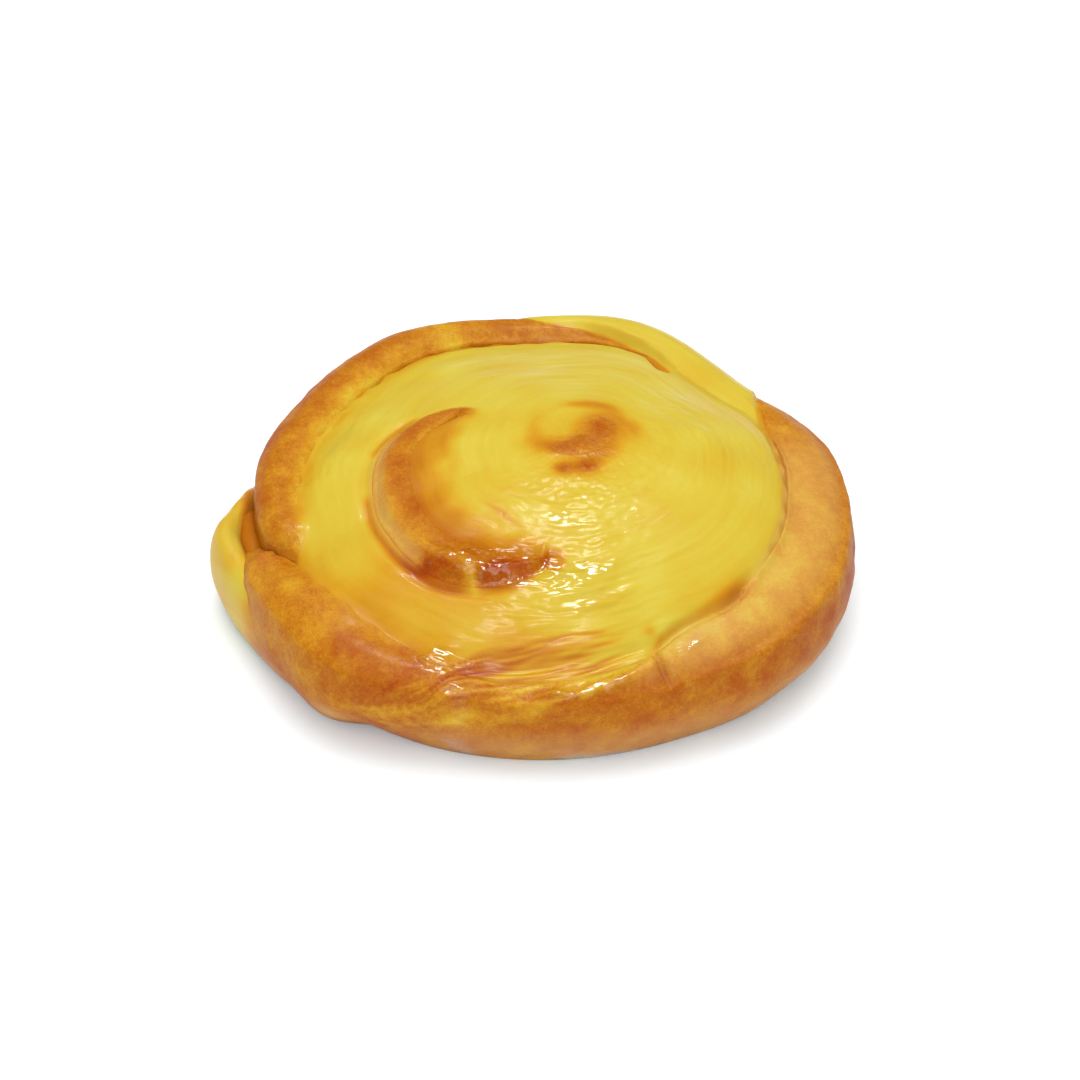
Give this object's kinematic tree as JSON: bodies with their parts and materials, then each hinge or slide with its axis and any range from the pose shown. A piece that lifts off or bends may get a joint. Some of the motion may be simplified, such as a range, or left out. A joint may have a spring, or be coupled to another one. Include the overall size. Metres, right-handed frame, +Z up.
{
  "type": "cream bun",
  "caption": "Round baked bun wound as a snail from a strip of yeast dough, with custard cream between the turns, over the middle and over parts of the side.",
  "frame": {"origin": "centre of the bounding box at the level the bun rests on", "axes": "+Z up, -Y towards the front of the bun, +X to its right seen from the front"},
  "size_m": [0.1149, 0.11, 0.0332],
  "materials": {
    "crust": "satin",
    "custard": "gloss"
  },
  "bodies": {
    "root": {"dough": "crust", "custard": "custard"}
  },
  "joints": []
}
